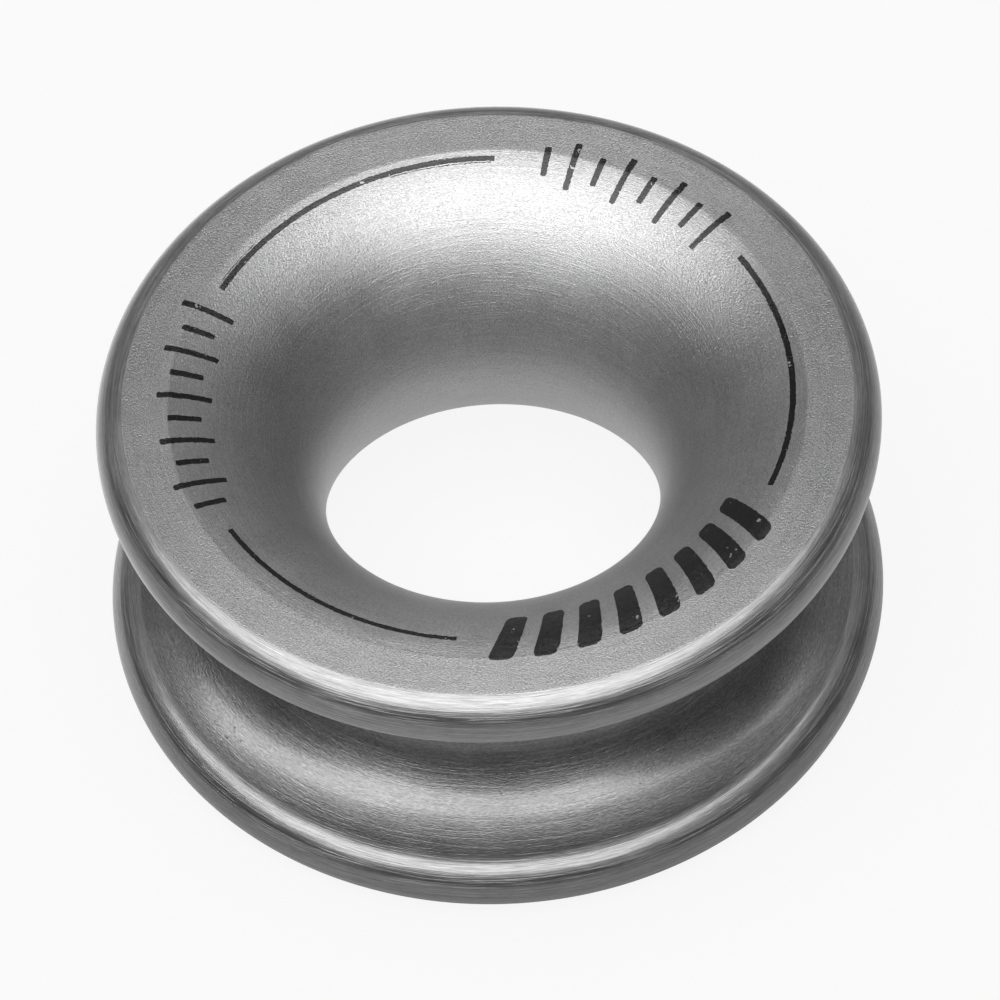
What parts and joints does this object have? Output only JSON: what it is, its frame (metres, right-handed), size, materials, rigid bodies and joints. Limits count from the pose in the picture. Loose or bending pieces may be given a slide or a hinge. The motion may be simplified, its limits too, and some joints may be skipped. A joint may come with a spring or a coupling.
{
  "type": "high load eye",
  "caption": "Round low-friction eye: a turned metal ring with a bell-mouthed way for a line and a round-bottomed lashing groove between two rounded rims.",
  "frame": {"origin": "centre of the ring, on its axis at half its height", "axes": "+Z along the ring's axis, out of the face that carries the printed marks; +X to the right of the marks as the picture shows them, +Y to the back"},
  "size_m": [0.0512, 0.0512, 0.022],
  "materials": {
    "anodised_aluminium": "grey hard anodised, bead blasted satin, with fine turning lines on the rims and thin dark printed marks on the upper face"
  },
  "bodies": {
    "root": {"eye_ring": "anodised_aluminium"}
  },
  "joints": []
}
